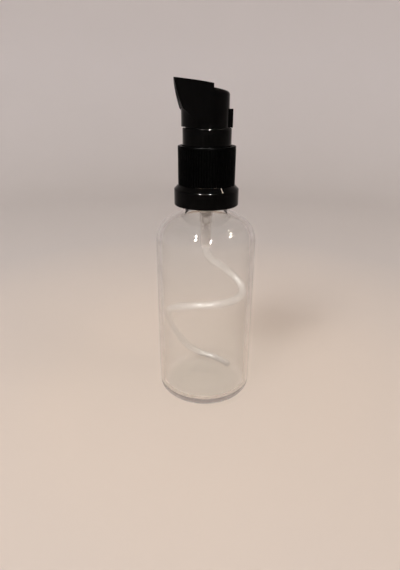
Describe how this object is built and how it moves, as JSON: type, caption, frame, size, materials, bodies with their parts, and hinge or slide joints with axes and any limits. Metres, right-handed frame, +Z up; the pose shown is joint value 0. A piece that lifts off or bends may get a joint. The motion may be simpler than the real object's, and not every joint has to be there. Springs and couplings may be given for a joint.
{
  "type": "pump oil bottle",
  "caption": "Clear round-shouldered glass bottle with a screwed-on black dispensing pump: pressing the sprung, beaked head draws oil up a curled dip tube and out of the spout.",
  "frame": {"origin": "centre of the bottle's foot, on the surface it stands on", "axes": "+Z up along the bottle's axis; the pump's spout points to -X; the XZ plane is the head's mirror plane"},
  "size_m": [0.0374, 0.0372, 0.1187],
  "materials": {
    "clear_glass": "clear, smooth",
    "black_gloss": "glossy moulded black",
    "black_ribbed": "moulded black with fine upright ribs",
    "gasket": "soft, matt",
    "natural_plastic": "translucent natural",
    "white_plastic": "satin white",
    "steel": "bright drawn",
    "natural_tube": "translucent natural, soft"
  },
  "bodies": {
    "bottle": {"bottle": "clear_glass", "tamper_ring": "black_gloss"},
    "pump": {"pump_housing": "natural_plastic", "chaplet": "white_plastic", "stem_seal": "gasket", "neck_gasket": "gasket", "dip_tube": "natural_tube", "return_spring": "steel"},
    "collar": {"collar": "black_ribbed"},
    "plunger": {"stem": "white_plastic", "poppet": "white_plastic"},
    "piston": {"piston": "natural_plastic"},
    "head": {"actuator_body": "black_gloss", "spout_shell": "black_gloss", "nozzle_tip": "black_gloss", "actuator_skirt": "black_gloss"},
    "ball": {"inlet_ball": "steel"}
  },
  "joints": [
    {"name": "pump_lift", "type": "slide", "parent": "bottle", "child": "pump", "axis": [0, 0, 1], "range_m": [0, 0.0045]},
    {"name": "collar_unscrew", "type": "hinge", "parent": "pump", "child": "collar", "pos_m": [0, 0, 0.09], "axis": [0, 0, 1], "range_deg": [0, 540]},
    {"name": "head_press", "type": "slide", "parent": "pump", "child": "plunger", "axis": [0, 0, -1], "range_m": [0, 0.004], "stiffness_N_per_m": 900, "springref_m": -0.004, "deforming": ["return_spring"]},
    {"name": "head_turn", "type": "hinge", "parent": "plunger", "child": "head", "pos_m": [0, 0, 0.1], "axis": [0, 0, 1], "continuous": true},
    {"name": "piston_lag", "type": "slide", "parent": "plunger", "child": "piston", "axis": [0, 0, 1], "range_m": [0, 0.0005]},
    {"name": "ball_lift", "type": "slide", "parent": "pump", "child": "ball", "axis": [0, 0, 1], "range_m": [0, 0.0008]}
  ],
  "couplings": [
    {"joint": "pump_lift", "follows": "collar_unscrew", "m_per_rad": 0.00047746}
  ]
}
